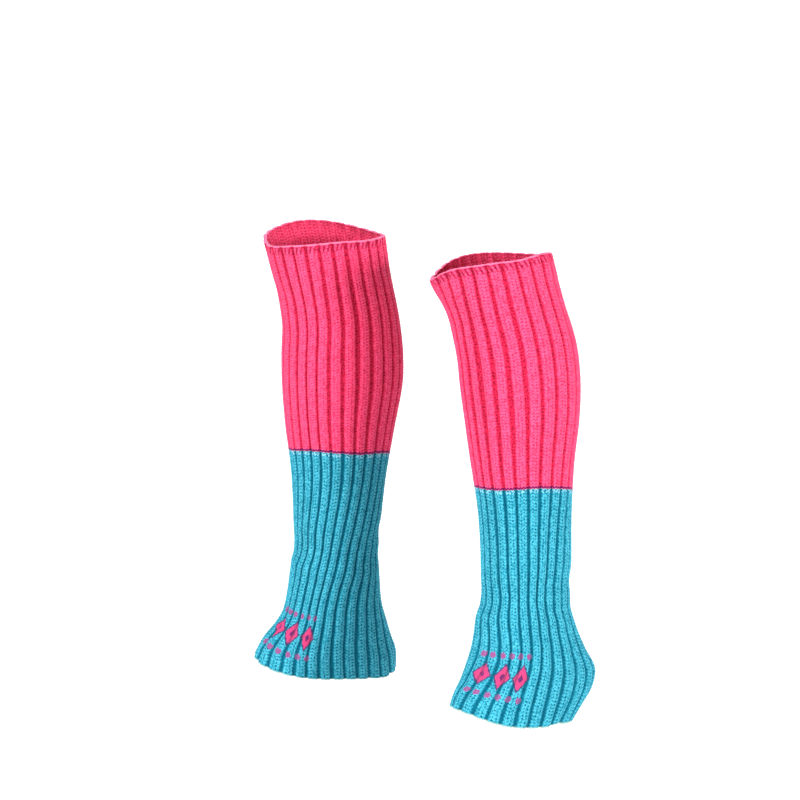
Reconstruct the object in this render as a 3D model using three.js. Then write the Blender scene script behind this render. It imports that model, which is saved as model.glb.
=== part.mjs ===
// A pair of ribbed knit leg warmers as they are worn, one round each shin, with no wearer in them.
// Each is a hollow knitted tube, open at both ends, in two colours that meet below the calf.
// The inside is plain and the outside is raised in upright ribs.
// Millimetres, +Z up. The wearer would face -Y, with the wearer's left towards +X.
// The origin is midway between the two calves, at the height where the ribs grip them.
import * as THREE from "three";

// Driving dimensions, in millimetres and degrees
const RIBS = 26; // ribs round each tube
const SPREAD = { left: 0.15, right: 0.05 }; // how much wider than average an outer rib is stretched
const WALL = 1.5; // thickness of the knit in the grooves between ribs
const RIB_HEIGHT = 2.4; // how far a rib stands out from its grooves
const COLOUR_CHANGE = -93; // height of the join between the two colours, along the leg
const COLOUR_GAP = 0.3; // between the two colours
const STANCE_WIDTH = 200; // between the legs, side to side
const STANCE_STEP = 73; // how far the left leg stands behind the right
const STANCE_LIFT = 12; // how much higher the right leg is held
const LEAN_FORWARD = 3.9; // the knees are in front of the ankles
const LEAN_INWARD = 4.7; // and nearer to each other than the ankles are
const ROWS_PER_COLOUR = 13; // levels of points down each coloured block

// One row for each level of a leg, from the top edge down. height runs up the leg from the calf.
// middle is how far the widest line lies behind the leg's axis. front, back and side are the
// half-sizes of the plain inside. rise is how much higher the back lies than the front, and
// saddle is how much higher the two sides lie than the front and back.
const LEVELS = {
  left: [
    { height: 115, middle: -1, front: 53, back: 49, side: 50, rise: 6, saddle: 8 },
    { height: 75, middle: 7, front: 50.5, back: 48.5, side: 48.5, rise: 4, saddle: 7 },
    { height: 35, middle: 16, front: 54, back: 49, side: 49, rise: 0, saddle: 6 },
    { height: 5, middle: 17, front: 54.5, back: 48.5, side: 49.5, rise: -4, saddle: 6 },
    { height: -25, middle: 15.5, front: 52, back: 46, side: 48, rise: -8, saddle: 6 },
    { height: -70, middle: 10.5, front: 45.5, back: 40.5, side: 43, rise: -10, saddle: 6 },
    { height: -115, middle: 7, front: 40, back: 37, side: 38.5, rise: -11, saddle: 5 },
    { height: -160, middle: 2, front: 37.5, back: 37.5, side: 36.5, rise: -12, saddle: 3 },
    { height: -195, middle: -2.5, front: 38.5, back: 38, side: 35.5, rise: -12, saddle: 1 },
    { height: -215, middle: -5, front: 43.5, back: 44.5, side: 36.5, rise: -13, saddle: 0 },
    { height: -235, middle: -7, front: 48, back: 54, side: 37.5, rise: -14, saddle: -1 },
    { height: -256, middle: -10.5, front: 54, back: 67, side: 38, rise: -15, saddle: -2 },
    { height: -272, middle: -17, front: 54.5, back: 68, side: 38, rise: -15, saddle: -2 },
    { height: -285, middle: -24, front: 54.5, back: 63.5, side: 38, rise: -15, saddle: -2 },
    { height: -298, middle: -30, front: 54, back: 57, side: 38, rise: -15, saddle: -2 },
  ],
  right: [
    { height: 114, middle: -2, front: 55.5, back: 53, side: 51, rise: 2, saddle: 10 },
    { height: 75, middle: 6.5, front: 54, back: 50, side: 49.5, rise: 1, saddle: 10 },
    { height: 35, middle: 14.5, front: 55, back: 50, side: 49.5, rise: -1, saddle: 10 },
    { height: 5, middle: 16, front: 58, back: 52, side: 50, rise: -3, saddle: 10 },
    { height: -25, middle: 15.5, front: 58, back: 52, side: 49.5, rise: -5, saddle: 10 },
    { height: -70, middle: 11.5, front: 52, back: 46, side: 45, rise: -9, saddle: 10 },
    { height: -115, middle: 7.5, front: 43.5, back: 40.5, side: 40.5, rise: -10, saddle: 9 },
    { height: -160, middle: 3.5, front: 38.5, back: 38.5, side: 37, rise: -8, saddle: 4 },
    { height: -195, middle: 1, front: 37.5, back: 38.5, side: 35.5, rise: -9, saddle: 1 },
    { height: -215, middle: -1.5, front: 39.5, back: 41.5, side: 36, rise: -10, saddle: 0 },
    { height: -235, middle: -4, front: 40.5, back: 45.5, side: 37, rise: -11, saddle: 0 },
    { height: -256, middle: -7.5, front: 43, back: 55, side: 38, rise: -12, saddle: 0 },
    { height: -272, middle: -12, front: 48.5, back: 65, side: 38, rise: -15, saddle: 0 },
    { height: -285, middle: -15.5, front: 55.5, back: 73.5, side: 38, rise: -17, saddle: 0 },
    { height: -304, middle: -17, front: 66, back: 75.5, side: 38, rise: -18, saddle: 0 },
  ],
};

// The rib's outline across one groove and crown: across is a share of the rib's pitch, and
// proud is a share of its height.
const RIB_OUTLINE = [
  { across: 0, proud: 0 },
  { across: 0.17, proud: 0.85 },
  { across: 0.5, proud: 1 },
  { across: 0.83, proud: 0.85 },
];

// Soft folds where the knit bunches above the foot, flares at the rims and sags. bearing is in
// degrees from the back, round the outer side. long and round are how far each runs up and around,
// depth is outwards, lift is upwards, slant is how far it climbs over one quarter turn, and swing is
// how many degrees it carries the ribs round the leg.
const FOLDS = {
  left: [
    { height: -190, bearing: 120, long: 9, round: 70, depth: -2.2, lift: 0, slant: 6, swing: 0 },
    { height: -208, bearing: 150, long: 9, round: 60, depth: 2.4, lift: 0, slant: 4, swing: 0 },
    { height: -172, bearing: 40, long: 10, round: 45, depth: -1.6, lift: 0, slant: -8, swing: 0 },
    { height: 70, bearing: 170, long: 14, round: 35, depth: -1.6, lift: 0, slant: 5, swing: 0 },
    { height: 115, bearing: 215, long: 26, round: 34, depth: 3.5, lift: -8, slant: 0, swing: 0 },
    { height: 115, bearing: 165, long: 24, round: 32, depth: 0, lift: 4.5, slant: 0, swing: 0 },
    { height: 115, bearing: 92, long: 24, round: 24, depth: 0, lift: -3.4, slant: 0, swing: 0 },
    { height: 110, bearing: 148, long: 26, round: 36, depth: 0, lift: 0, slant: 0, swing: -4 },
    { height: 20, bearing: 110, long: 90, round: 80, depth: 0, lift: 0, slant: 0, swing: 2 },
    { height: -93, bearing: 188, long: 50, round: 38, depth: 0, lift: 3, slant: 0, swing: 0 },
    { height: -175, bearing: 62, long: 80, round: 46, depth: 0, lift: 0, slant: 0, swing: 13 },
    { height: -240, bearing: 166, long: 45, round: 50, depth: 0, lift: 0, slant: 0, swing: -12 },
    { height: -266, bearing: 92, long: 26, round: 56, depth: 0, lift: 0, slant: 0, swing: 9 },
    { height: -298, bearing: 160, long: 30, round: 30, depth: 0, lift: 4, slant: 0, swing: 0 },
    { height: -298, bearing: 205, long: 40, round: 50, depth: 0, lift: 14, slant: 0, swing: 0 },
  ],
  right: [
    { height: -184, bearing: 250, long: 9, round: 80, depth: -2.4, lift: 0, slant: -6, swing: 0 },
    { height: -203, bearing: 215, long: 9, round: 60, depth: 2.6, lift: 0, slant: -5, swing: 0 },
    { height: -168, bearing: 320, long: 10, round: 45, depth: -1.6, lift: 0, slant: 8, swing: 0 },
    { height: 66, bearing: 190, long: 14, round: 35, depth: -1.6, lift: 0, slant: -4, swing: 0 },
    { height: 114, bearing: 150, long: 20, round: 25, depth: 0, lift: 3, slant: 0, swing: 0 },
    { height: 114, bearing: 203, long: 20, round: 26, depth: 0, lift: 3, slant: 0, swing: 0 },
    { height: 114, bearing: 285, long: 24, round: 30, depth: 0, lift: -3.5, slant: 0, swing: 0 },
    { height: 10, bearing: 275, long: 110, round: 55, depth: 0, lift: 0, slant: 0, swing: -3 },
    { height: -20, bearing: 232, long: 90, round: 36, depth: 0, lift: 0, slant: 0, swing: -7 },
    { height: -93, bearing: 203, long: 60, round: 32, depth: 0, lift: 5.5, slant: 0, swing: 0 },
    { height: -165, bearing: 235, long: 34, round: 90, depth: 0, lift: 0, slant: 0, swing: -5 },
    { height: -245, bearing: 230, long: 45, round: 26, depth: 0, lift: 0, slant: 0, swing: 5 },
    { height: -255, bearing: 266, long: 75, round: 110, depth: 0, lift: 0, slant: 0, swing: -34 },
    { height: -304, bearing: 186, long: 30, round: 26, depth: 0, lift: 0, slant: 0, swing: -5 },
    { height: -304, bearing: 312, long: 30, round: 28, depth: 0, lift: -4.5, slant: 0, swing: 0 },
    { height: -304, bearing: 150, long: 40, round: 50, depth: 0, lift: 14, slant: 0, swing: 0 },
  ],
};

const LEGS = {
  left: { outwards: 1, behind: 1 },
  right: { outwards: -1, behind: -1 },
};

const COLOURS = {
  pink: { color: 0xf2447e, roughness: 0.95, metalness: 0 },
  teal: { color: 0x35b4cf, roughness: 0.95, metalness: 0 },
};

// The value of one column of LEVELS at any height, on a smooth curve through the rows.
function levelValue(leg, column, height) {
  const rows = LEVELS[leg];
  const last = rows.length - 1;
  let i = 0;
  while (i < last - 1 && height < rows[i + 1].height) i += 1;
  const slopeAfter = (k) =>
    (rows[k + 1][column] - rows[k][column]) / (rows[k + 1].height - rows[k].height);
  const slopeAt = (k) => {
    if (k === 0) return slopeAfter(0);
    if (k === last) return slopeAfter(last - 1);
    return (slopeAfter(k - 1) + slopeAfter(k)) / 2;
  };
  const span = rows[i + 1].height - rows[i].height;
  const t = (height - rows[i].height) / span;
  return (
    rows[i][column] * (1 + 2 * t) * (1 - t) ** 2 +
    rows[i + 1][column] * t * t * (3 - 2 * t) +
    slopeAt(i) * span * t * (1 - t) ** 2 +
    slopeAt(i + 1) * span * t * t * (t - 1)
  );
}

// The plain inside at one height, as a closed path from the middle of the back round the outer side.
function insidePath(leg, height) {
  const middle = levelValue(leg, "middle", height);
  const side = levelValue(leg, "side", height);
  const path = new THREE.Path();
  const back = levelValue(leg, "back", height);
  const front = levelValue(leg, "front", height);
  path.absellipse(0, middle, side, back, Math.PI / 2, 0, true);
  path.absellipse(0, middle, side, front, 0, -Math.PI, true);
  path.absellipse(0, middle, side, back, -Math.PI, -Math.PI * 1.5, true);
  return path;
}

// How far the folds move the knit outwards, upwards and round the leg.
function foldShift(leg, height, turn) {
  const shift = { depth: 0, lift: 0, swing: 0 };
  for (const fold of FOLDS[leg]) {
    const around = THREE.MathUtils.euclideanModulo(turn * 360 - fold.bearing + 180, 360) - 180;
    const along = height - fold.height - (fold.slant * around) / 90;
    const share = Math.exp(-((along / fold.long) ** 2) - (around / fold.round) ** 2);
    shift.depth += fold.depth * share;
    shift.lift += fold.lift * share;
    shift.swing += fold.swing * share;
  }
  return shift;
}

// The point that lies proud of the plain inside by the given distance. turn is the share of the way
// round, before the knit is stretched over the leg.
function clothPoint(leg, path, height, turn, proud) {
  const spread = (SPREAD[leg] * Math.cos(turn * Math.PI * 2)) / (Math.PI * 2);
  const swung = foldShift(leg, height, turn).swing / 360;
  const stretched = THREE.MathUtils.euclideanModulo(turn - spread + swung, 1);
  const fold = foldShift(leg, height, stretched);
  const flat = path.getPoint(stretched);
  const tangent = path.getTangent(stretched);
  const out = proud + fold.depth;
  const across = flat.x - tangent.y * out;
  const backwards = flat.y + tangent.x * out;
  const middle = levelValue(leg, "middle", height);
  const depth = levelValue(leg, "front", height) + levelValue(leg, "back", height);
  const lift =
    fold.lift +
    (levelValue(leg, "rise", height) * (backwards - middle)) / depth +
    levelValue(leg, "saddle", height) * (flat.x / levelValue(leg, "side", height)) ** 2;
  return [across * LEGS[leg].outwards, backwards, height + lift];
}

// One coloured block of a tube, closed by a rim at each end.
function knitBlock(leg, top, bottom) {
  const around = RIBS * RIB_OUTLINE.length;
  const outer = [];
  const inner = [];
  for (let row = 0; row < ROWS_PER_COLOUR; row += 1) {
    const height = top + ((bottom - top) * row) / (ROWS_PER_COLOUR - 1);
    const path = insidePath(leg, height);
    for (let rib = 0; rib < RIBS; rib += 1) {
      inner.push(clothPoint(leg, path, height, rib / RIBS, 0));
      for (const { across, proud } of RIB_OUTLINE)
        outer.push(clothPoint(leg, path, height, (rib + across) / RIBS, WALL + RIB_HEIGHT * proud));
    }
  }
  const faces = [];
  const outerAt = (row, j) => row * around + (j % around);
  const innerAt = (row, k) => outer.length + row * RIBS + (k % RIBS);
  const lastRow = ROWS_PER_COLOUR - 1;
  for (let row = 0; row < lastRow; row += 1) {
    for (let j = 0; j < around; j += 1) {
      faces.push([outerAt(row, j), outerAt(row + 1, j), outerAt(row + 1, j + 1)]);
      faces.push([outerAt(row, j), outerAt(row + 1, j + 1), outerAt(row, j + 1)]);
    }
    for (let k = 0; k < RIBS; k += 1) {
      faces.push([innerAt(row, k), innerAt(row + 1, k + 1), innerAt(row + 1, k)]);
      faces.push([innerAt(row, k), innerAt(row, k + 1), innerAt(row + 1, k + 1)]);
    }
  }
  const half = RIB_OUTLINE.length / 2;
  for (let k = 0; k < RIBS; k += 1) {
    const groove = k * RIB_OUTLINE.length;
    for (const [row, flip] of [[0, false], [lastRow, true]]) {
      const rim = [];
      for (let j = groove; j < groove + half; j += 1)
        rim.push([innerAt(row, k), outerAt(row, j), outerAt(row, j + 1)]);
      rim.push([innerAt(row, k), outerAt(row, groove + half), innerAt(row, k + 1)]);
      for (let j = groove + half; j < groove + 2 * half; j += 1)
        rim.push([innerAt(row, k + 1), outerAt(row, j), outerAt(row, j + 1)]);
      faces.push(...rim.map(([a, b, c]) => (flip ? [a, c, b] : [a, b, c])));
    }
  }
  const turned = LEGS[leg].outwards > 0;
  const geometry = new THREE.BufferGeometry();
  geometry.setAttribute("position", new THREE.Float32BufferAttribute([...outer, ...inner].flat(), 3));
  geometry.setIndex(faces.flatMap(([a, b, c]) => (turned ? [a, c, b] : [a, b, c])));
  geometry.computeVertexNormals();
  return geometry;
}

function legWarmer(leg) {
  const { outwards, behind } = LEGS[leg];
  const group = new THREE.Group();
  const top = LEVELS[leg][0].height;
  const bottom = LEVELS[leg].at(-1).height;
  const blocks = {
    upper: { from: top, to: COLOUR_CHANGE + COLOUR_GAP / 2, colour: "pink" },
    lower: { from: COLOUR_CHANGE - COLOUR_GAP / 2, to: bottom, colour: "teal" },
  };
  for (const [name, { from, to, colour }] of Object.entries(blocks)) {
    const material = new THREE.MeshStandardMaterial(COLOURS[colour]);
    const mesh = new THREE.Mesh(knitBlock(leg, from, to), material);
    mesh.name = `${leg}_${name}`;
    group.add(mesh);
  }
  group.position.set((outwards * STANCE_WIDTH) / 2, (behind * STANCE_STEP) / 2, (-outwards * STANCE_LIFT) / 2);
  group.rotation.x = THREE.MathUtils.degToRad(LEAN_FORWARD);
  group.rotation.y = THREE.MathUtils.degToRad(-outwards * LEAN_INWARD);
  return group;
}

const pair = new THREE.Group();
pair.add(legWarmer("left"), legWarmer("right"));
export default pair;
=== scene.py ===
# %% [markdown]
# A pair of ribbed knit leg warmers, dressed for the camera.
# The CAD part gives four plain blocks: a pink upper and a teal lower block for each leg. Here each
# block becomes real knitting, with ribs, columns of stitches, a bind-off edge and a cast-on edge.
# All lengths below are typed in millimetres, as a knitter would measure them, and are turned into
# metres once, when a mesh is made.

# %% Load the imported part
import math

import bpy
import numpy as np
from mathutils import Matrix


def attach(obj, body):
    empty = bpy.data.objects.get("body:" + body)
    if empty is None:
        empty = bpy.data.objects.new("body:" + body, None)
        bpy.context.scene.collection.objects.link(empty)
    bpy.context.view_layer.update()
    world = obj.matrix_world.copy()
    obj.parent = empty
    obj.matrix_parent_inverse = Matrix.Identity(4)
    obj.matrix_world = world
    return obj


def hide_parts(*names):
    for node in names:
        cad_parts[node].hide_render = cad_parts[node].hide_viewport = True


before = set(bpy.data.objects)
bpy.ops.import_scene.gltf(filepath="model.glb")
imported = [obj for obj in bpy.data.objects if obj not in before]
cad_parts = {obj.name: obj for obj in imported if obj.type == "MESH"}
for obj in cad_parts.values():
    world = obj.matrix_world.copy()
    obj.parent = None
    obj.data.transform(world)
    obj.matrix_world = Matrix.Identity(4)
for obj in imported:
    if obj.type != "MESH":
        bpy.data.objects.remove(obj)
bpy.ops.object.select_all(action="DESELECT")
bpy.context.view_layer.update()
MM = 0.001
print("CAD nodes:", sorted(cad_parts))

# %% [markdown]
# The camera looks from the front and the wearer's left, a little from above. A long lens from
# three metres away keeps the two legs nearly the same size, as they look in the photograph.

# %% Camera
LOOK_AT = np.array([-7.8, -13.4, -24.0])
CAMERA_AZIMUTH = 60.0
CAMERA_ELEVATION = 8.0
CAMERA_DISTANCE = 3000.0

azimuth = math.radians(CAMERA_AZIMUTH)
elevation = math.radians(CAMERA_ELEVATION)
towards_camera = np.array([
    math.sin(azimuth) * math.cos(elevation),
    -math.cos(azimuth) * math.cos(elevation),
    math.sin(elevation),
])
bpy.ops.object.camera_add(
    location=tuple((LOOK_AT + towards_camera * CAMERA_DISTANCE) * MM),
    rotation=(math.pi / 2 - elevation, 0, azimuth),
)
camera = bpy.context.object
camera.name = "camera"
camera.data.sensor_width = 36
camera.data.lens = 145.8
bpy.context.scene.camera = camera
print("camera at", [round(v, 3) for v in camera.location])

# %% [markdown]
# A leg warmer has no shape of its own until it is worn, so its form is given as a table of levels.
# Each level is an oval: how far its middle lies behind the leg's axis, its half-sizes to the front,
# back and side, and how the level itself is tilted. The same levels shaped the CAD blocks, which
# is why the knitting will lie exactly on them.

# %% The form of each leg
LEVEL_COLUMNS = ("height", "middle", "front", "back", "side", "rise", "saddle")
LEVEL_ROWS = {
    "left": [
        (115, -1, 53, 49, 50, 6, 8),
        (75, 7, 50.5, 48.5, 48.5, 4, 7),
        (35, 16, 54, 49, 49, 0, 6),
        (5, 17, 54.5, 48.5, 49.5, -4, 6),
        (-25, 15.5, 52, 46, 48, -8, 6),
        (-70, 10.5, 45.5, 40.5, 43, -10, 6),
        (-115, 7, 40, 37, 38.5, -11, 5),
        (-160, 2, 37.5, 37.5, 36.5, -12, 3),
        (-195, -2.5, 38.5, 38, 35.5, -12, 1),
        (-215, -5, 43.5, 44.5, 36.5, -13, 0),
        (-235, -7, 48, 54, 37.5, -14, -1),
        (-256, -10.5, 54, 67, 38, -15, -2),
        (-272, -17, 54.5, 68, 38, -15, -2),
        (-285, -24, 54.5, 63.5, 38, -15, -2),
        (-298, -30, 54, 57, 38, -15, -2),
    ],
    "right": [
        (114, -2, 55.5, 53, 51, 2, 10),
        (75, 6.5, 54, 50, 49.5, 1, 10),
        (35, 14.5, 55, 50, 49.5, -1, 10),
        (5, 16, 58, 52, 50, -3, 10),
        (-25, 15.5, 58, 52, 49.5, -5, 10),
        (-70, 11.5, 52, 46, 45, -9, 10),
        (-115, 7.5, 43.5, 40.5, 40.5, -10, 9),
        (-160, 3.5, 38.5, 38.5, 37, -8, 4),
        (-195, 1, 37.5, 38.5, 35.5, -9, 1),
        (-215, -1.5, 39.5, 41.5, 36, -10, 0),
        (-235, -4, 40.5, 45.5, 37, -11, 0),
        (-256, -7.5, 43, 55, 38, -12, 0),
        (-272, -12, 48.5, 65, 38, -15, 0),
        (-285, -15.5, 55.5, 73.5, 38, -17, 0),
        (-304, -17, 66, 75.5, 38, -18, 0),
    ],
}
LEVELS = {
    leg: {name: np.array(column, dtype=float) for name, column in zip(LEVEL_COLUMNS, zip(*rows))}
    for leg, rows in LEVEL_ROWS.items()
}


def level_value(leg, column, height):
    """One column of the table at any height, on a smooth curve through its rows."""
    at = LEVELS[leg]["height"]
    value = LEVELS[leg][column]
    last = len(at) - 1
    between = np.diff(value) / np.diff(at)
    slope = np.concatenate([between[:1], (between[:-1] + between[1:]) / 2, between[-1:]])
    i = np.clip(np.searchsorted(-at, -height, side="right") - 1, 0, last - 1)
    span = at[i + 1] - at[i]
    t = (height - at[i]) / span
    return (
        value[i] * (1 + 2 * t) * (1 - t) ** 2
        + value[i + 1] * t * t * (3 - 2 * t)
        + slope[i] * span * t * (1 - t) ** 2
        + slope[i + 1] * span * t * t * (t - 1)
    )


print("calf is", round(float(level_value("left", "side", np.array(5.0))) * 2), "mm wide inside")

# %% [markdown]
# Knit bunches where the leg is thin and sags where nothing holds it. Each soft fold is one row of a
# table: where it is, how far it runs, how deep it is, how it slants, and how many
# degrees it swings the ribs round the leg. The first rows are the large folds of the CAD blocks, and
# the rest are small ones that only show up close.

# %% Folds
FOLD_COLUMNS = ("height", "bearing", "long", "round", "depth", "lift", "slant", "swing")
FOLD_ROWS = {
    "left": [
        (-190, 120, 9, 70, -2.2, 0, 6, 0),
        (-208, 150, 9, 60, 2.4, 0, 4, 0),
        (-172, 40, 10, 45, -1.6, 0, -8, 0),
        (70, 170, 14, 35, -1.6, 0, 5, 0),
        (115, 215, 26, 34, 3.5, -8, 0, 0),
        (115, 165, 24, 32, 0, 4.5, 0, 0),
        (115, 92, 24, 24, 0, -3.4, 0, 0),
        (110, 148, 26, 36, 0, 0, 0, -4),
        (20, 110, 90, 80, 0, 0, 0, 2),
        (-93, 188, 50, 38, 0, 3, 0, 0),
        (-175, 62, 80, 46, 0, 0, 0, 13),
        (-240, 166, 45, 50, 0, 0, 0, -12),
        (-266, 92, 26, 56, 0, 0, 0, 9),
        (-298, 160, 30, 30, 0, 4, 0, 0),
        (-298, 205, 40, 50, 0, 14, 0, 0),
    ],
    "right": [
        (-184, 250, 9, 80, -2.4, 0, -6, 0),
        (-203, 215, 9, 60, 2.6, 0, -5, 0),
        (-168, 320, 10, 45, -1.6, 0, 8, 0),
        (66, 190, 14, 35, -1.6, 0, -4, 0),
        (114, 150, 20, 25, 0, 3, 0, 0),
        (114, 203, 20, 26, 0, 3, 0, 0),
        (114, 285, 24, 30, 0, -3.5, 0, 0),
        (10, 275, 110, 55, 0, 0, 0, -3),
        (-20, 232, 90, 36, 0, 0, 0, -7),
        (-93, 203, 60, 32, 0, 5.5, 0, 0),
        (-165, 235, 34, 90, 0, 0, 0, -5),
        (-245, 230, 45, 26, 0, 0, 0, 5),
        (-255, 266, 75, 110, 0, 0, 0, -34),
        (-304, 186, 30, 26, 0, 0, 0, -5),
        (-304, 312, 30, 28, 0, -4.5, 0, 0),
        (-304, 150, 40, 50, 0, 14, 0, 0),
    ],
}
SMALL_FOLD_ROWS = {
    "left": [
        (-178, 95, 5, 34, -0.9, 0, 7, 0),
        (-200, 75, 5, 30, -1.0, 0, -5, 0),
        (-216, 118, 6, 38, -0.8, 0, 5, 0),
        (-197, 190, 5, 32, -0.9, 0, -6, 0),
        (-186, 250, 6, 40, -1.1, 0, 8, 0),
        (-206, 300, 5, 36, -0.8, 0, -4, 0),
        (-168, 335, 6, 30, -0.8, 0, 6, 0),
        (-93, 75, 40, 25, 0, -1, 0, 0),
        (-298, 58, 12, 12, -1.4, 1.5, 0, 0),
        (52, 150, 9, 24, -0.6, 0, 6, 0),
        (20, 330, 12, 30, -0.7, 0, -5, 0),
        (88, 60, 10, 26, -0.6, 0, 4, 0),
    ],
    "right": [
        (-174, 265, 5, 32, -0.9, 0, -7, 0),
        (-196, 285, 5, 30, -1.0, 0, 5, 0),
        (-214, 240, 6, 36, -0.8, 0, -6, 0),
        (-192, 170, 5, 34, -0.9, 0, 5, 0),
        (-182, 110, 6, 40, -1.0, 0, -8, 0),
        (-204, 60, 5, 34, -0.8, 0, 5, 0),
        (-165, 20, 6, 30, -0.8, 0, -5, 0),
        (-93, 270, 50, 22, 0, -2.2, 0, 0),
        (-304, 302, 12, 12, -1.2, 1.2, 0, 0),
        (48, 215, 9, 26, -0.6, 0, -6, 0),
        (24, 30, 12, 30, -0.7, 0, 6, 0),
        (84, 300, 10, 26, -0.6, 0, -4, 0),
    ],
}


def fold_shift(leg, height, turn):
    """How far the folds move the knit outwards, upwards and round. turn is a share of the way round."""
    depth = np.zeros_like(height)
    lift = np.zeros_like(height)
    swing = np.zeros_like(height)
    for row in FOLD_ROWS[leg] + SMALL_FOLD_ROWS[leg]:
        fold = dict(zip(FOLD_COLUMNS, row))
        around = (turn * 360 - fold["bearing"] + 180) % 360 - 180
        along = height - fold["height"] - fold["slant"] * around / 90
        share = np.exp(-((along / fold["long"]) ** 2) - (around / fold["round"]) ** 2)
        depth += fold["depth"] * share
        lift += fold["lift"] * share
        swing += fold["swing"] * share
    return depth, lift, swing


print("folds on each leg:", {leg: len(FOLD_ROWS[leg] + SMALL_FOLD_ROWS[leg]) for leg in FOLD_ROWS})

# %% [markdown]
# Now a point of the cloth can be placed. Points are spaced by the length of the oval, so that every
# rib gets its share of it, with a little more on the outer side of the leg, where the knit is
# stretched wider, and the folds then swing it round. From its place on the plain oval inside the
# tube, the point moves out along the oval's normal by the thickness of the knit and the depth of the
# folds there, and is lifted by the tilt of its level.

# %% From a place in the knit to a place in space
OVAL_STEPS = 720
SPREAD = {"left": 0.15, "right": 0.05}
STANCE_WIDTH = 200.0
STANCE_STEP = 73.0
STANCE_LIFT = 12.0
LEAN_FORWARD = math.radians(3.9)
LEAN_INWARD = math.radians(4.7)
OUTWARDS = {"left": 1.0, "right": -1.0}


def oval_angle(leg, height, turn):
    """The angle on each level's oval that lies the given share of the way round it."""
    angle = np.linspace(0, 2 * math.pi, OVAL_STEPS + 1)
    found = np.empty_like(turn)
    for i, level in enumerate(height):
        side, back, front = (float(level_value(leg, name, level)) for name in ("side", "back", "front"))
        deep = np.where(np.cos(angle) > 0, back, front)
        step = np.hypot(np.diff(side * np.sin(angle)), np.diff(deep * np.cos(angle)))
        length = np.concatenate([[0.0], np.cumsum(step)])
        found[i] = np.interp((turn[i] % 1.0) * length[-1], length, angle)
    return found


def cloth_points(leg, row_height, height, turn, proud):
    """Points in millimetres for whole rows of knit. turn counts before the knit is stretched."""
    spread = SPREAD[leg] * np.cos(turn * 2 * math.pi) / (2 * math.pi)
    stretched = (turn - spread + fold_shift(leg, height, turn)[2] / 360) % 1.0
    depth, lift, _ = fold_shift(leg, height, stretched)
    angle = oval_angle(leg, row_height, stretched)
    middle, side, front, back, rise, saddle = (
        level_value(leg, name, height) for name in ("middle", "side", "front", "back", "rise", "saddle")
    )
    deep = np.where(np.cos(angle) > 0, back, front)
    flat_x = side * np.sin(angle)
    flat_y = middle + deep * np.cos(angle)
    along_x = side * np.cos(angle)
    along_y = -deep * np.sin(angle)
    length = np.hypot(along_x, along_y)
    x = flat_x - along_y / length * (proud + depth)
    y = flat_y + along_x / length * (proud + depth)
    z = height + lift + rise * (y - middle) / (front + back) + saddle * (flat_x / side) ** 2
    x = x * OUTWARDS[leg]
    lean = -OUTWARDS[leg] * LEAN_INWARD
    cos, sin = math.cos(lean), math.sin(lean)
    x, z = x * cos + z * sin, -x * sin + z * cos
    cos, sin = math.cos(LEAN_FORWARD), math.sin(LEAN_FORWARD)
    y, z = y * cos - z * sin, y * sin + z * cos
    half = OUTWARDS[leg] / 2
    return np.stack([x + half * STANCE_WIDTH, y + half * STANCE_STEP, z - half * STANCE_LIFT], axis=-1)


# %% [markdown]
# A rib is three columns of V-shaped knit stitches standing on a crown, and one column of purl
# stitches lying in the groove beside it. Knitters call such a column a wale. One V needs a column
# of points at each of its edges, on each of its two arms and in its middle. The rows of points run
# in the same zigzag, so that each row of stitches needs only a crest and a valley.

# %% The points of one row of stitches
RIBS = 26
WALES_ON_A_RIB = 3
WALES = RIBS * (WALES_ON_A_RIB + 1.0)
POINTS_ON_A_WALE = 4
WALE_EDGE_DIP = -0.34
WALE_MIDDLE_DIP = -0.2
PURL_HALF = 0.2

crown_points = WALES_ON_A_RIB * POINTS_ON_A_WALE
points_on_a_rib = crown_points + 3
columns = RIBS * points_on_a_rib
place = np.arange(columns + 1) % points_on_a_rib
rib = np.arange(columns + 1) // points_on_a_rib
on_crown = place >= 2
wale_edge = on_crown & ((place - 2) % POINTS_ON_A_WALE == 0)
wale_middle = on_crown & ((place - 2) % POINTS_ON_A_WALE == 2)
arm_height = np.select([wale_edge, wale_middle], [WALE_EDGE_DIP, WALE_MIDDLE_DIP], 0.0)
arm_rise = np.select([wale_edge, wale_middle], [1.0, -1.0], 0.0)
wale_on_rib = 0.5 + (place - 2) / POINTS_ON_A_WALE
wale_on_rib = np.select([place == 0, place == 1], [-PURL_HALF, PURL_HALF], wale_on_rib)
wale_number = rib * (WALES_ON_A_RIB + 1.0) + wale_on_rib
print("points in one row:", columns)

# %% [markdown]
# Where the knit is stretched its grooves open, and where it bunches they close. Each place where
# they do is one row of a table, and beside that no two grooves are quite the same.

# %% The width of the grooves
WALL = 1.5
RIB_HEIGHT = 2.4
GROOVE_SLOPE = 0.06
GROOVE_BASE = 0.115
GROOVE_SWELL = 0.014
GROOVE_DIFFERENCE = 0.008
CROWN_FALL = 0.48
CROWN_POWER = 2.2
OPEN_COLUMNS = ("height", "bearing", "long", "round", "wider")
OPEN_ROWS = {
    "left": [
        (10, 155, 80, 46, 0.085),
        (110, 120, 26, 60, -0.02),
        (20, 62, 90, 30, -0.035),
        (-250, 150, 60, 70, 0.01),
    ],
    "right": [
        (30, 256, 100, 22, 0.055),
        (20, 190, 120, 40, -0.015),
        (60, 200, 50, 22, 0.02),
        (-240, 250, 60, 60, 0.01),
    ],
}


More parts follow.
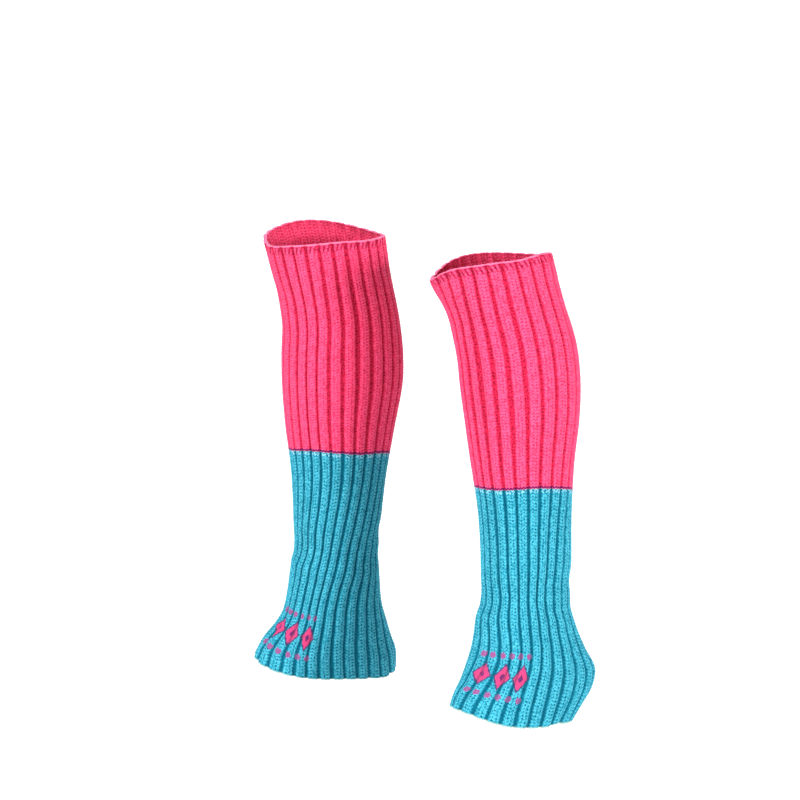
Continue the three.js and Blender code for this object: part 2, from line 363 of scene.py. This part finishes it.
def groove_width(leg, height, turn):
    """The share of a rib's pitch from a groove's middle to its edge. turn says where the groove is."""
    groove_number = np.rint(turn * RIBS)
    swell = GROOVE_SWELL * np.sin(groove_number * 2.3 + height / 47)
    difference = GROOVE_DIFFERENCE * np.sin(groove_number * 4.1)
    width = GROOVE_BASE + swell + difference
    for row in OPEN_ROWS[leg]:
        opening = dict(zip(OPEN_COLUMNS, row))
        around = (turn * 360 - opening["bearing"] + 180) % 360 - 180
        along = height - opening["height"]
        share = np.exp(-((along / opening["long"]) ** 2) - (around / opening["round"]) ** 2)
        width = width + opening["wider"] * share
    return width


def rib_layout(leg, height):
    """For rows at these heights: each point's share of the way round, and how proud it stands."""
    shape = (len(height), columns + 1)
    before = groove_width(leg, height[:, None], np.broadcast_to((rib % RIBS) / RIBS, shape))
    after = groove_width(leg, height[:, None], np.broadcast_to(((rib + 1) % RIBS) / RIBS, shape))
    crown_share = (place - 2) / crown_points
    across = np.where(on_crown, before + crown_share * (1 - before - after), 0.0)
    across = np.where(place == 0, -(before - GROOVE_SLOPE), across)
    across = np.where(place == 1, before - GROOVE_SLOPE, across)
    off_centre = np.abs(2 * crown_share - 1)
    profile = np.where(on_crown, 1 - CROWN_FALL * off_centre ** CROWN_POWER, 0.0)
    return (rib + across) / RIBS, profile


print("places where the grooves change:", {leg: len(rows) for leg, rows in OPEN_ROWS.items()})

# %% [markdown]
# Each block is made from one flat grid, as knitting is made from one flat fabric. Its columns run
# up the leg and its rows run round it. The grid goes down the outside, round the lower edge, up the
# inside and round the upper edge, so it closes on itself twice: it is rolled into a tube, and the
# tube has a real thickness. The outside comes first. Its stitches lie flatter towards a free edge,
# no two are quite alike, and the ribs wander a little, most of all above the ankle.

# %% The outside of a block
ROWS_OF_STITCHES = 72
STITCH_ARM_DROP = 0.6
CREST_HEIGHT = 0.14
VALLEY_HEIGHT = -0.2
PURL_RELIEF = 0.8
UNEVENNESS = 0.05
WANDER = 0.00035
ANKLE_WANDER = 0.0012
ANKLE_HEIGHT = -192
ANKLE_LENGTH = 34

rng = np.random.default_rng(28)


def knit_outside(leg, height, share, free_edge):
    """For every point outside: its share of the way round, profile, height, zigzag and wander."""
    turn, profile = rib_layout(leg, height)
    level = height[:, None]
    even = (np.arange(len(height)) % 2 == 0)[:, None]
    from_edge = share if free_edge == "top" else 1 - share
    calm = np.clip(from_edge * ROWS_OF_STITCHES / 2, 0, 1)[:, None]
    relief = np.where(even, CREST_HEIGHT, VALLEY_HEIGHT) * np.where(on_crown, 1.0, PURL_RELIEF)
    relief = (relief + arm_height) * calm
    uneven = rng.normal(0, UNEVENNESS, (ROWS_OF_STITCHES + 1, columns + 1)).repeat(2, axis=0)
    uneven = uneven[:len(height)]
    uneven[:, -1] = uneven[:, 0]
    proud = WALL + RIB_HEIGHT * profile + relief + uneven * calm
    zigzag = arm_rise * STITCH_ARM_DROP * calm
    near_ankle = np.exp(-(((level - ANKLE_HEIGHT) / ANKLE_LENGTH) ** 2))
    wander = np.sin(level / 23 + rib * 1.7) * WANDER
    wander = wander + np.sin(level / 11 + rib * 0.9) * ANKLE_WANDER * near_ankle
    wander[:, -1] = wander[:, 0]
    return turn, profile, proud, zigzag, wander


print("rows of stitches in a block:", ROWS_OF_STITCHES)

# %% [markdown]
# An edge leads in a half circle from the outside of the wall to its inside. Where it is cast on or
# bound off, it is fatter and has a loop for every wale. Where the other block is knitted on, it
# stays flat, and the zigzag of the stitches fades out over it.

# %% The edges of a block
EDGE_POINTS = 6
EDGE_BULGE = 0.95
EDGE_FAT = 0.35
LOOP_DIP = 0.42
PURL_DIP = 0.3


def knit_edge(leg, height, outer, inner, turn, zigzag, up, free):
    """Rows of points round the upper edge, where up is 1, or round the lower one, where it is -1."""
    steps = np.arange(1, EDGE_POINTS) / EDGE_POINTS
    if up > 0:
        steps = 1 - steps
    around = math.pi * steps[:, None]
    fade = np.linspace(0, 1, len(steps)) if up > 0 else np.linspace(1, 0, len(steps))
    loop = 1 - LOOP_DIP * wale_edge - PURL_DIP * ~on_crown
    fat = EDGE_FAT if free else 0.0
    bulge = EDGE_BULGE if free else 0.0
    half = (outer - inner) / 2 + fat * np.sin(around) * loop
    proud = (outer + inner) / 2 + half * np.cos(around)
    level = height + up * bulge * np.sin(around) * loop + zigzag * fade[:, None]
    return cloth_points(leg, np.full(len(steps), height), level, np.broadcast_to(turn, proud.shape), proud)


print("rows of points round an edge:", EDGE_POINTS - 1)

# %% [markdown]
# A finished grid of points is rolled into its tube. The UV map counts stitches and rows, which lets
# the materials draw yarn that follows every rib.

# %% Roll a grid into a tube
MERGE_DISTANCE = 0.000004


def roll_into_tube(name, points, row_number, labels):
    """A mesh from rows of points that close on themselves both ways, with labels on its points."""
    rows = len(points)
    bpy.ops.mesh.primitive_grid_add(
        x_subdivisions=columns, y_subdivisions=rows - 1, size=1, calc_uvs=True)
    piece = bpy.context.object
    piece.name = name
    mesh = piece.data
    mesh.name = name
    flat = np.empty(len(mesh.vertices) * 3)
    mesh.vertices.foreach_get("co", flat)
    flat = flat.reshape(-1, 3)
    column = np.rint((flat[:, 0] + 0.5) * columns).astype(int)
    row = np.rint((flat[:, 1] + 0.5) * (rows - 1)).astype(int)
    mesh.vertices.foreach_set("co", (points[row, column] * MM).ravel())

    corner = np.empty(len(mesh.loops), dtype=int)
    mesh.loops.foreach_get("vertex_index", corner)
    mesh.uv_layers.active.name = "stitches"
    stitches = np.stack([wale_number[column[corner]], row_number[row[corner]]], axis=-1)
    mesh.uv_layers.active.data.foreach_set("uv", stitches.ravel())
    for label, values in labels.items():
        on_points = np.broadcast_to(values, (rows, columns + 1))[row, column]
        mesh.attributes.new(label, "FLOAT", "POINT").data.foreach_set("value", on_points)

    bpy.ops.object.mode_set(mode="EDIT")
    bpy.ops.mesh.select_all(action="SELECT")
    bpy.ops.mesh.remove_doubles(threshold=MERGE_DISTANCE)
    bpy.ops.mesh.normals_make_consistent(inside=False)
    bpy.ops.object.mode_set(mode="OBJECT")
    bpy.ops.object.shade_smooth()
    bpy.ops.object.select_all(action="DESELECT")
    print(name, "has", len(mesh.polygons), "faces")
    return piece


print("points closer than", MERGE_DISTANCE / MM, "mm are merged")

# %% [markdown]
# A block is its outside, its lower edge, its inside and its upper edge in one grid. Beside the
# points stands what the materials need to know about them: how deep a point lies in a groove,
# whether it is on a free edge or inside, its row, and its place in the print above the foot.

# %% Knit the blocks
INSIDE_POINTS = 20
INSIDE_RIB = 1.2
COLOUR_CHANGE = -93.0
COLOUR_GAP = 0.12
EDGE_SHADE = 0.5
PRINT_PLACE = {"left": (142, -257), "right": (220, -267)}
PRINT_GIRTH = 300.0
FAR_FROM_PRINT = 200.0


def knit_block(name, leg, top, bottom, first_row, free_edge):
    """A knitted tube from top to bottom. free_edge says which of its two ends is not knitted on."""
    share = np.linspace(0, 1, 2 * ROWS_OF_STITCHES + 1)
    height_out = top + (bottom - top) * share
    turn_out, profile_out, proud_out, zigzag, wander = knit_outside(leg, height_out, share, free_edge)
    level_out = height_out[:, None] + zigzag
    points_out = cloth_points(leg, height_out, level_out, turn_out + wander, proud_out)

    share_in = np.linspace(1, 0, INSIDE_POINTS)
    height_in = top + (bottom - top) * share_in
    turn_in, profile_in = rib_layout(leg, height_in)
    proud_in = INSIDE_RIB * profile_in
    level_in = np.broadcast_to(height_in[:, None], turn_in.shape)
    points_in = cloth_points(leg, height_in, level_in, turn_in, proud_in)

    lower_points = knit_edge(
        leg, bottom, proud_out[-1], proud_in[0], turn_out[-1], zigzag[-1], -1, free_edge == "bottom")
    upper_points = knit_edge(
        leg, top, proud_out[0], proud_in[-1], turn_out[0], zigzag[0], 1, free_edge == "top")
    points = np.concatenate([points_out, lower_points, points_in, upper_points, points_out[:1]])

    rows = len(points)
    outside = slice(0, len(share))
    lower_edge = slice(outside.stop, outside.stop + EDGE_POINTS - 1)
    inside = slice(lower_edge.stop, lower_edge.stop + INSIDE_POINTS)
    upper_edge = slice(inside.stop, rows - 1)
    groove = np.zeros((rows, columns + 1))
    groove[outside] = 1 - profile_out
    groove[lower_edge] = (1 - profile_out[-1]) * EDGE_SHADE
    groove[upper_edge] = (1 - profile_out[0]) * EDGE_SHADE
    groove[-1] = groove[0]
    bead = np.zeros(rows)
    if free_edge == "bottom":
        bead[lower_edge.start - 1:lower_edge.stop] = 1
    else:
        bead[upper_edge.start:] = 1
        bead[0] = 1
    on_inside = np.zeros(rows)
    on_inside[inside] = 1

    edge_share = np.arange(1, EDGE_POINTS) / EDGE_POINTS
    row_number = np.concatenate([
        first_row + share * ROWS_OF_STITCHES,
        first_row + ROWS_OF_STITCHES + 0.5 * edge_share,
        first_row + ROWS_OF_STITCHES * share_in,
        first_row - 0.5 * (1 - edge_share),
        [first_row],
    ])
    print_bearing, print_height = PRINT_PLACE[leg]
    print_turn = (wale_number / WALES - print_bearing / 360 + 0.5) % 1.0 - 0.5
    print_up = np.full(rows, FAR_FROM_PRINT)
    print_up[outside] = height_out - print_height
    return roll_into_tube(name, points, row_number, {
        "groove": groove,
        "bead": bead[:, None],
        "inside": on_inside[:, None],
        "print_across": print_turn * PRINT_GIRTH,
        "print_up": print_up[:, None],
    })


knits = {}
for leg in ("left", "right"):
    levels = LEVELS[leg]["height"]
    knits[leg, "upper"] = knit_block(
        f"{leg}_pink_knit", leg, levels[0], COLOUR_CHANGE + COLOUR_GAP / 2, -ROWS_OF_STITCHES, "top")
    knits[leg, "lower"] = knit_block(
        f"{leg}_teal_knit", leg, COLOUR_CHANGE - COLOUR_GAP / 2, levels[-1], 0, "bottom")

# %% [markdown]
# Shader maths reads best as plain expressions. This small class wraps a node's output, so that
# adding or multiplying two of them adds the Math node that does it. Every other node comes from one
# method, which takes the node's type, its settings and its inputs.

# %% Shader maths
class Shade:
    """One output of a node, or a whole material when it has just been started."""

    def __init__(self, tree, socket=None):
        self.tree = tree
        self.socket = socket

    def node(self, kind, settings=None, inputs=None, output=0):
        made = self.tree.nodes.new(kind)
        for name, value in (settings or {}).items():
            setattr(made, name, value)
        for name, value in (inputs or {}).items():
            if isinstance(value, Shade):
                self.tree.links.new(value.socket, made.inputs[name])
            else:
                made.inputs[name].default_value = value
        return None if output is None else Shade(self.tree, made.outputs[output])

    def label(self, name):
        """What knit_block wrote on the mesh's points under this name."""
        return self.node("ShaderNodeAttribute", {"attribute_name": name}, output="Fac")

    def noise(self, scale, detail):
        """Soft noise at this place."""
        return self.node(
            "ShaderNodeTexNoise",
            None,
            {"Vector": self, "Scale": scale, "Detail": detail},
            output="Fac",
        )

    def own_value(self, row, layer):
        """A random value for each whole wale and row, and another for each layer."""
        which = self.node("ShaderNodeCombineXYZ", None, {"X": self.floor(), "Y": row.floor(), "Z": layer})
        dimensions = "3D" if layer else "2D"
        return self.node(
            "ShaderNodeTexWhiteNoise",
            {"noise_dimensions": dimensions},
            {"Vector": which},
            output="Value",
        )

    def maths(self, operation, *terms):
        return self.node("ShaderNodeMath", {"operation": operation}, dict(enumerate(terms)))

    def __add__(self, other):
        return self.maths("ADD", self, other)

    def __radd__(self, other):
        return self.maths("ADD", other, self)

    def __sub__(self, other):
        return self.maths("SUBTRACT", self, other)

    def __rsub__(self, other):
        return self.maths("SUBTRACT", other, self)

    def __mul__(self, other):
        return self.maths("MULTIPLY", self, other)

    def __rmul__(self, other):
        return self.maths("MULTIPLY", other, self)

    def __abs__(self):
        return self.maths("ABSOLUTE", self)

    def fraction(self):
        return self.maths("FRACT", self)

    def floor(self):
        return self.maths("FLOOR", self)

    def between(self, low, high):
        """0 below low, 1 above high and a soft step from one to the other."""
        return self.node(
            "ShaderNodeMapRange",
            {"interpolation_type": "SMOOTHSTEP"},
            {"Value": self, "From Min": low, "From Max": high},
        )

    def mix(self, first, second):
        """The first colour where this value is 0, and the second where it is 1."""
        return self.node(
            "ShaderNodeMix",
            {"data_type": "RGBA"},
            {0: self, 6: first, 7: second},
            output=2,
        )


print("shader maths ready")

# %% [markdown]
# The yarn is soft and matt, so its finish is nearly all diffuse with a little sheen from loose
# fibres. What shows up close is colour. A groove between ribs is painted darker than a crown: painted
# shade, where light is caught between its walls. Small holes between the stitches are painted dark as
# shade, and every arm of every stitch has a painted highlight that differs a little from the next.
# First come the colours of both yarns.

# %% Colours
def colour(red, green, blue):
    """A colour as a paint program gives it, from 0 to 255, in the linear values that Blender uses."""
    shares = [c / 255 for c in (red, green, blue)]
    return tuple(s / 12.92 if s <= 0.04045 else ((s + 0.055) / 1.055) ** 2.4 for s in shares) + (1.0,)


# In each yarn, shade and light are painted shade and painted highlight on the stitches, mixed by their
# random tone. The hole colour is painted shade in the gaps between stitches, and groove and deep are
# painted shade on the purl stitches between the ribs.
YARNS = {
    "pink_knit": {
        "hole_shade": colour(180, 28, 68), "shade": colour(222, 50, 88), "light": colour(248, 86, 132),
        "groove": colour(202, 34, 72), "deep": colour(146, 12, 46),
        "bead": colour(236, 112, 150), "change": colour(72, 14, 78), "change_row": -0.45,
    },
    "teal_knit": {
        "hole_shade": colour(0, 68, 92), "shade": colour(16, 125, 149), "light": colour(77, 180, 202),
        "groove": colour(0, 106, 130), "deep": colour(0, 80, 102),
        "bead": colour(134, 172, 164), "change": colour(160, 212, 228), "change_row": 0.6,
    },
}
# the dark colour of the slits below the bind-off edge: painted shade in the openings
SLIT_SHADE = colour(146, 18, 54)
PRINT_PINK = colour(212, 62, 114)
PRINT_EDGE = colour(74, 38, 92)
PRINT_DOTS = colour(148, 68, 126)
print("yarns:", sorted(YARNS))

# %% [markdown]
# Two details lie over the stitches. The teal block has a chain of diamonds between two rows of dots,
# printed over its ribs above the foot. The pink block has small slits under its bind-off edge, where
# the loops of that edge are pulled over; their darkness is painted shade.

# %% The print and the slits
DIAMOND_PITCH = 19
DIAMOND_HALF_WIDTH = 9
DIAMOND_HALF_HEIGHT = 13
DOT_PITCH = 9.5
DOT_ROW = 19
PRINT_HALF_LENGTH = 28.4


def printed(start, dressed, in_groove, own_tone):
    """The yarn's colour with the print over it. The ink is thinner in the grooves."""
    x = start.label("print_across")
    y = start.label("print_up")
    diamond_x = ((x * (1 / DIAMOND_PITCH) + 0.5).fraction() - 0.5) * DIAMOND_PITCH
    diamond = abs(diamond_x) * (1 / DIAMOND_HALF_WIDTH) + abs(y) * (1 / DIAMOND_HALF_HEIGHT)
    dot_x = ((x * (1 / DOT_PITCH)).fraction() - 0.5) * DOT_PITCH
    dot_y = abs(y) - DOT_ROW
    dots = (dot_x * dot_x + dot_y * dot_y).between(9.5, 6.5)
    ends = abs(x).between(PRINT_HALF_LENGTH + 0.2, PRINT_HALF_LENGTH - 0.2)
    ink = ends * (0.96 - in_groove * 0.35) * (0.86 + own_tone * 0.14)
    dressed = (diamond.between(1.04, 0.98) * ink).mix(dressed, PRINT_EDGE)
    dressed = (diamond.between(0.84, 0.78) * ink).mix(dressed, PRINT_PINK)
    dressed = (diamond.between(0.34, 0.26) * ink).mix(dressed, PRINT_EDGE)
    return (dots * ink).mix(dressed, PRINT_DOTS)


def slitted(dressed, wale, row, inside, own_hole):
    """The yarn's colour with slanting slits of painted shade in the first rows outside, just below the
    bind-off edge.
    """
    below = row + ROWS_OF_STITCHES
    slit_shade = abs((wale * 0.75 + below * 0.24).fraction() - 0.5).between(0.28, 0.16)
    slit_shade = slit_shade * below.between(0.0, 0.3) * below.between(3.0, 2.2) * (1 - inside)
    return (slit_shade * (0.7 + own_hole * 0.3)).mix(dressed, SLIT_SHADE)


print("print is", 2 * PRINT_HALF_LENGTH, "mm long")

# %% [markdown]
# The material puts all this together, from the yarn's own fuzz to the rows where the colours change.
# There the last pink row is dark and the first teal row has pale flecks, as both yarns share it.

# %% Yarn
HOLE_STAGGER = 0.37
FIBRE_DEPTH = 0.0006


def yarn_material(name):
    """The material of one yarn, drawn from the stitches, rows and labels on the mesh."""
    yarn = YARNS[name]
    material = bpy.data.materials.new(name)
    material.use_nodes = True
    tree = material.node_tree
    tree.nodes.clear()
    start = Shade(tree)
    stitches = start.node("ShaderNodeUVMap", {"uv_map": "stitches"})
    wale = start.node("ShaderNodeSeparateXYZ", None, {0: stitches}, output="X")
    row = start.node("ShaderNodeSeparateXYZ", None, {0: stitches}, output="Y")
    groove = start.label("groove")
    bead = start.label("bead")
    inside = start.label("inside")
    object_place = start.node("ShaderNodeTexCoord", output="Object")

    # one stitch: two arms that stand up, and a small hole where it meets the next stitches, painted dark
    # as shade
    across = abs((wale + 0.5).fraction() - 0.5) * 2
    arm = (abs(across - 0.5) * 2).between(1.0, 0.1)
    course = abs(row.fraction() - 0.5) * 2
    crest = course.between(0.1, 0.85)
    hole_row = row + (wale.floor() * HOLE_STAGGER).fraction()
    hole_shade = across.between(0.34, 0.68) * (abs(hole_row.fraction() - 0.5) * 2).between(0.66, 0.32)

    # noise from single fibres up to large patches of wear
    fibres = object_place.noise(2600.0, 3.0)
    fuzz = object_place.noise(640.0, 1.0).between(0.36, 0.62)
    mottle = object_place.noise(150.0, 4.0)
    patches = object_place.noise(22.0, 2.0)

    # every arm of every stitch and every hole has a tone of its own
    own_tone = (wale * 2).own_value(row + 0.5, 0.0)
    own_hole = wale.own_value(hole_row, 7.0)
    # lighter on the raised arms and crests of the stitches: painted highlight, with painted shade between
    # them; own_tone and fuzz add the yarn's random tone
    highlight_and_tone = arm * 0.15 + crest * 0.25 + own_tone * 0.25 + fuzz * 0.35
    crown = highlight_and_tone.between(0.2, 0.8).mix(yarn["shade"], yarn["light"])
    # painted shade in the holes between the stitches
    crown = (hole_shade * (0.3 + 0.7 * own_hole)).mix(crown, yarn["hole_shade"])
    # the purl stitches between the ribs take darker colours: painted shade in the grooves, varied by their
    # rows and by fuzz
    shaded_purl = (crest * 0.3 + fuzz * 0.7).between(0.15, 0.75).mix(yarn["deep"], yarn["groove"])
    in_groove = (groove + own_hole * 0.15 + fuzz * 0.2).between(0.42, 0.95)
    dressed = in_groove.mix(crown, shaded_purl)
    dressed = start.node("ShaderNodeHueSaturation", None, {
        "Value": 0.92 + mottle * 0.08 + patches * 0.08,
        "Color": dressed,
    })

    # the rows where the colours change
    change = abs(row - yarn["change_row"]) * (1 - inside) + inside * 9
    if name == "teal_knit":
        flecks = (own_tone * 0.6 + fuzz * 0.4).between(0.3, 0.6) * 0.6
        change = change.between(0.7, 0.4) * (1 - in_groove) * (1 - hole_shade) * flecks
        dressed = change.mix(dressed, yarn["change"])
        dressed = printed(start, dressed, in_groove, own_tone)
    else:
        change = change.between(0.45, 0.2) * (0.7 + 0.3 * arm)
        dressed = change.mix(dressed, yarn["change"])
        dressed = slitted(dressed, wale, row, inside, own_hole)
    dressed = bead.between(0.45, 1.0).mix(dressed, yarn["bead"])

    height = (arm * 0.55 + crest * 0.45) * 0.6 + fibres * 0.4
    bump = start.node("ShaderNodeBump", None, {"Height": height, "Strength": 0.5, "Distance": FIBRE_DEPTH})
    finish = start.node("ShaderNodeBsdfPrincipled", None, {
        "Base Color": dressed,
        "Roughness": 0.9,
        "Sheen Weight": 0.08,
        "Sheen Roughness": 0.4,
        "Specular IOR Level": 0.1,
        "Normal": bump,
    })
    start.node("ShaderNodeOutputMaterial", None, {"Surface": finish}, output=None)
    print(name, "has", len(tree.nodes), "nodes")
    return material


materials = {name: yarn_material(name) for name in YARNS}

# %% [markdown]
# Each knitted block takes its yarn, stands for its CAD block and rides with the part. A tube of ribs
# is much narrower off the leg than on it.

# %% Dress the part
SLOTS = {"upper": "pink_knit", "lower": "teal_knit"}

for (leg, block), piece in knits.items():
    piece.data.materials.clear()
    piece.data.materials.append(materials[SLOTS[block]])
    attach(piece, "root")
    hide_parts(f"{leg}_{block}")
    print(piece.name, "stands for", f"{leg}_{block}")

# %% [markdown]
# The studio is plain: a pale floor below the raised heels and soft light from both sides. The floor
# glows faintly, like a lit backdrop, so that no shadow shows on it. Sun lamps with a wide angle give
# shadows without an edge. The side light is low, so the near leg shades the far one.

# %% Studio
FLOOR_HEIGHT = -362.0
FLOOR_RADIUS = 90

bpy.ops.mesh.primitive_circle_add(
    vertices=64, radius=FLOOR_RADIUS, fill_type="NGON", location=(0, 0, FLOOR_HEIGHT * MM))
floor = bpy.context.object
floor.name = "studio_floor"
floor_material = bpy.data.materials.new("studio_floor")
floor_material.use_nodes = True
floor_finish = floor_material.node_tree.nodes["Principled BSDF"]
floor_finish.inputs["Base Color"].default_value = (0.5, 0.5, 0.5, 1)
floor_finish.inputs["Emission Color"].default_value = (1, 1, 1, 1)
floor_finish.inputs["Emission Strength"].default_value = 0.8
floor_finish.inputs["Roughness"].default_value = 0.9
floor_finish.inputs["Specular IOR Level"].default_value = 0.1
floor.data.materials.append(floor_material)

world = bpy.data.worlds.new("studio")
world.use_nodes = True
world.node_tree.nodes["Background"].inputs["Color"].default_value = (1, 1, 1, 1)
world.node_tree.nodes["Background"].inputs["Strength"].default_value = 0.1
bpy.context.scene.world = world
bpy.context.scene.view_settings.view_transform = "Standard"

SUNS = (
    # name, azimuth it shines from, elevation, strength, angle of its disc
    ("key_light", 4, 28, 3.5, 44),
    ("side_light", 107, 4, 3.4, 14),
    ("top_light", 60, 84, 2.0, 70),
)
for name, sun_azimuth, sun_elevation, strength, disc in SUNS:
    bpy.ops.object.light_add(type="SUN", location=(0, 0, 2))
    lamp = bpy.context.object
    lamp.name = name
    lamp.rotation_euler = (math.radians(90 - sun_elevation), 0, math.radians(sun_azimuth))
    lamp.data.energy = strength
    lamp.data.angle = math.radians(disc)
    print(name, "shines from", sun_azimuth, "degrees")
